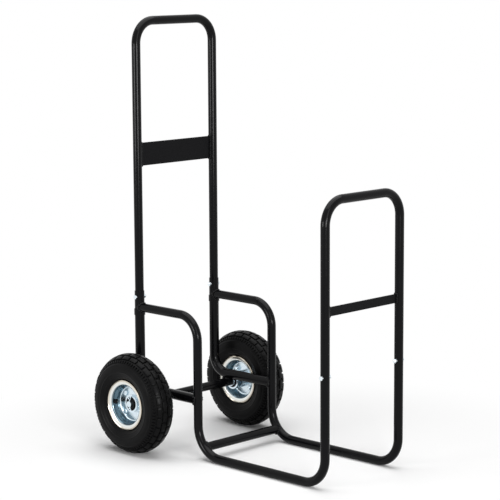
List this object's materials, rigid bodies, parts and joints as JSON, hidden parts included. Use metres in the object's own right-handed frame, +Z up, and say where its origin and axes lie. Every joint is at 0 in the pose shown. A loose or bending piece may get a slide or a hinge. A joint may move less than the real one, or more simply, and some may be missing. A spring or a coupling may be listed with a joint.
{
  "type": "firewood log cart",
  "caption": "Wheeled steel-tube firewood rack: stepped side frames hold stacked logs between a front frame and a tall handle, on pneumatic wheels.",
  "frame": {"origin": "on the floor under the middle of the cart's bounding box", "axes": "+Z up, X along the axle, -Y towards the front frame, +Y towards the handle"},
  "size_m": [0.4756, 0.7271, 1.09],
  "materials": {
    "black_coat": "gloss black powder coat on steel tube",
    "satin_coat": "satin black powder coat on flat steel",
    "zinc_plate": "bright blue-white zinc plate on steel",
    "black_oxide": "black oxide on steel",
    "bearing_seal": "steel ball bearing behind a black seal",
    "tyre_rubber": "moulded black tyre rubber with block tread",
    "butyl_rubber": "smooth black butyl rubber",
    "cap_plastic": "moulded black plastic"
  },
  "bodies": {
    "frame": {"handle_frame": "black_coat", "handle_plate": "satin_coat", "front_frame": "black_coat", "front_crossbar": "satin_coat", "left_side_tube": "black_coat", "right_side_tube": "black_coat", "left_rear_leg": "black_coat", "right_rear_leg": "black_coat", "left_leg_collar": "black_coat", "right_leg_collar": "black_coat", "heel_cross_tube": "black_coat", "axle_tube": "black_coat", "axle": "zinc_plate", "axle_spacers": "zinc_plate", "axle_washers": "black_oxide", "cotter_pins": "zinc_plate", "front_bolts": "zinc_plate", "front_nuts": "zinc_plate", "handle_bolts": "zinc_plate", "handle_nuts": "zinc_plate"},
    "left_wheel": {"left_tyre": "tyre_rubber", "left_inner_tube": "butyl_rubber", "left_outer_rim": "zinc_plate", "left_inner_rim": "zinc_plate", "left_hub": "zinc_plate", "left_outer_bearing": "bearing_seal", "left_inner_bearing": "bearing_seal", "left_rim_bolts": "zinc_plate", "left_rim_nuts": "zinc_plate", "left_valve_stem": "butyl_rubber", "left_valve_cap": "cap_plastic"},
    "right_wheel": {"right_tyre": "tyre_rubber", "right_inner_tube": "butyl_rubber", "right_outer_rim": "zinc_plate", "right_inner_rim": "zinc_plate", "right_hub": "zinc_plate", "right_outer_bearing": "bearing_seal", "right_inner_bearing": "bearing_seal", "right_rim_bolts": "zinc_plate", "right_rim_nuts": "zinc_plate", "right_valve_stem": "butyl_rubber", "right_valve_cap": "cap_plastic"}
  },
  "joints": [
    {"name": "left_wheel_spin", "type": "hinge", "parent": "frame", "child": "left_wheel", "pos_m": [-0.1998, 0.23655, 0.127], "axis": [1, 0, 0], "continuous": true},
    {"name": "right_wheel_spin", "type": "hinge", "parent": "frame", "child": "right_wheel", "pos_m": [0.1998, 0.23655, 0.127], "axis": [1, 0, 0], "continuous": true}
  ]
}
